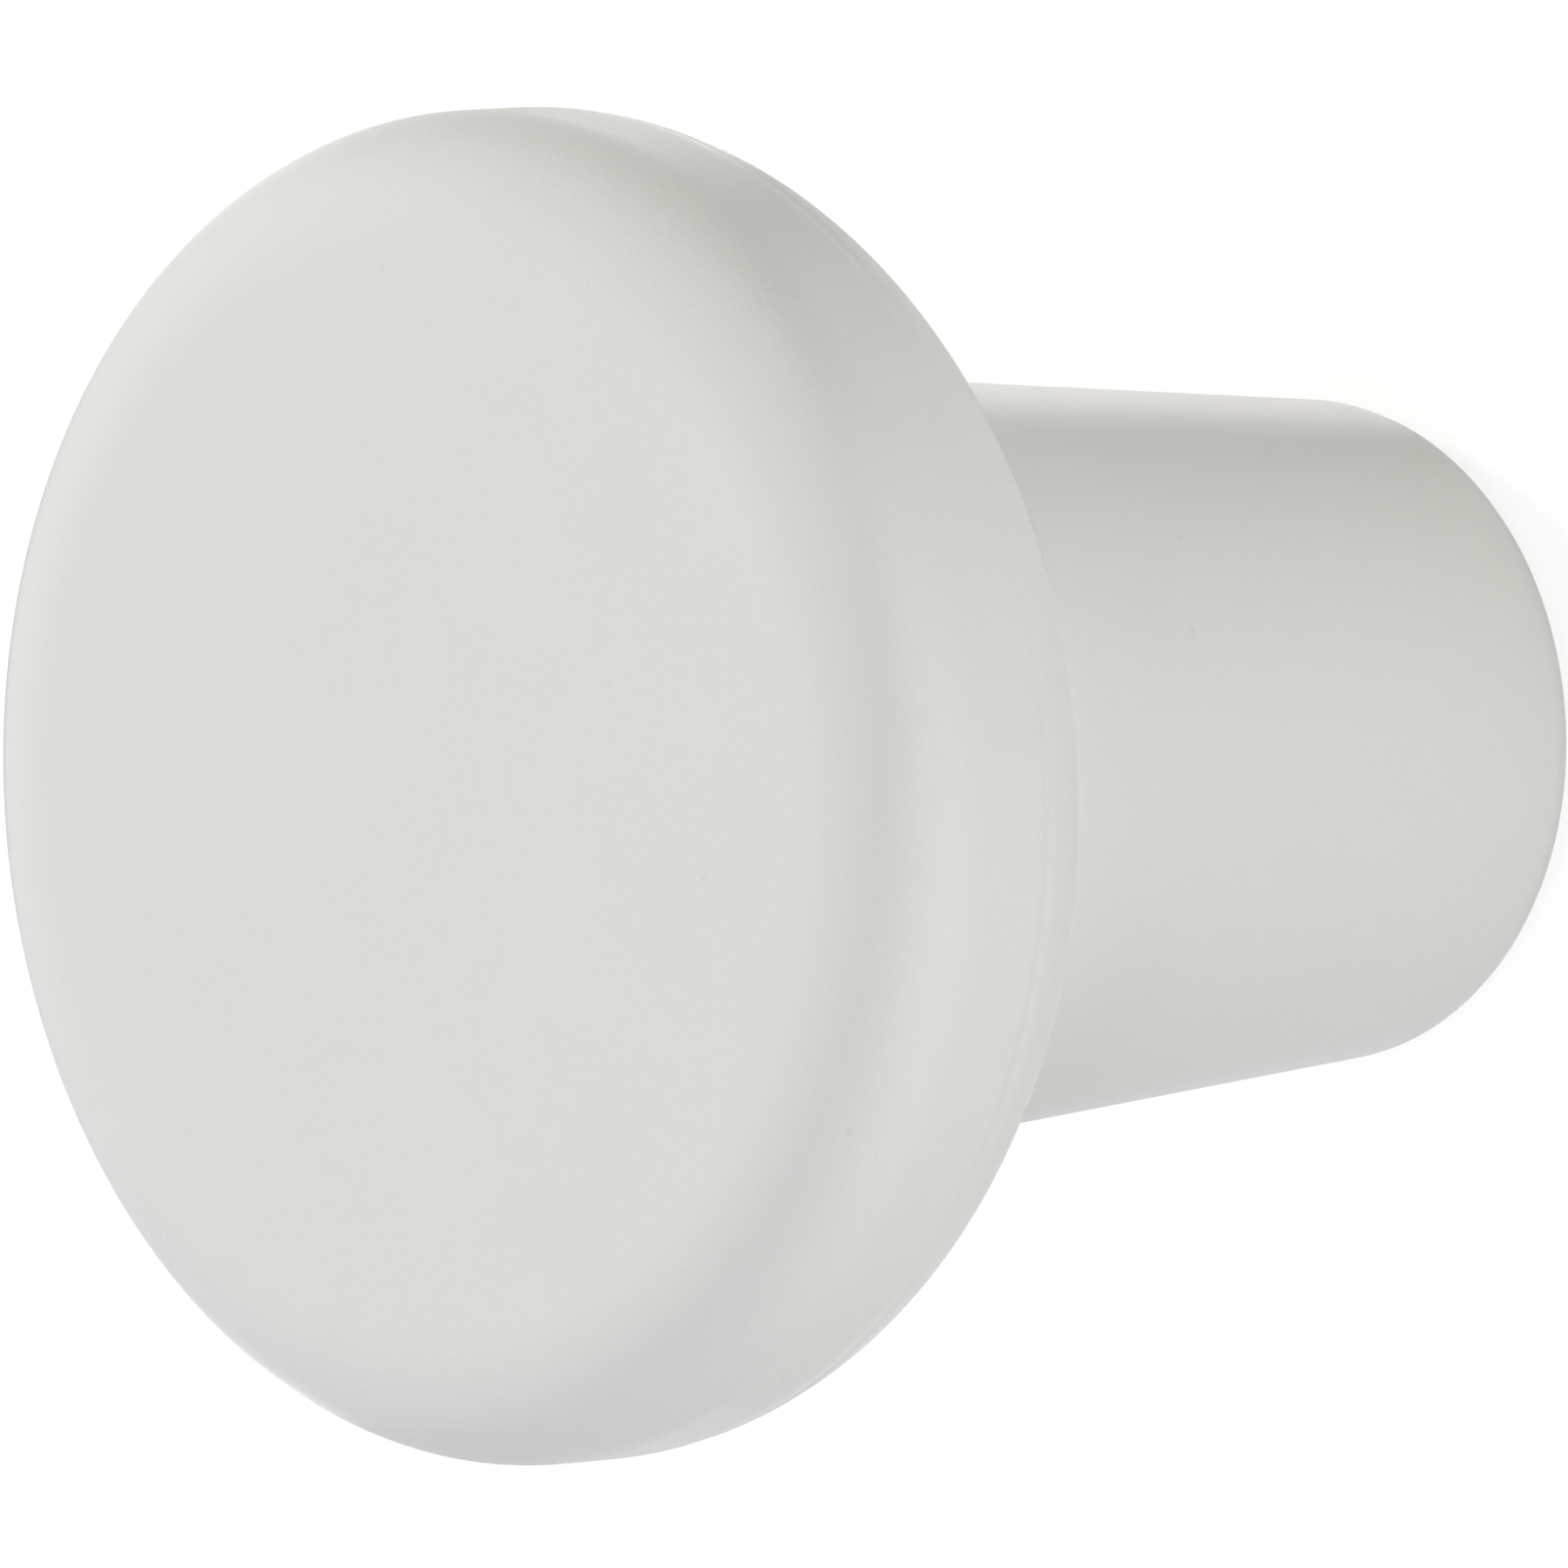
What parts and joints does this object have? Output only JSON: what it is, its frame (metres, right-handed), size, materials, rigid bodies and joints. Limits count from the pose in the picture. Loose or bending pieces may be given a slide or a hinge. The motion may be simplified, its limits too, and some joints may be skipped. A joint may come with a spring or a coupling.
{
  "type": "bottle stopper",
  "caption": "Soft white stopper moulded in one piece: a flat round head with rounded edges on a tapered plug that seals a bottle's mouth.",
  "frame": {"origin": "centre of the plug's flat end, which the stopper stands on", "axes": "+Z along the axis of revolution, from the plug's end up through the head; X and Y are any two directions across it"},
  "size_m": [0.034, 0.034, 0.0333],
  "materials": {
    "silicone": "matte"
  },
  "bodies": {
    "root": {"stopper": "silicone"}
  },
  "joints": []
}
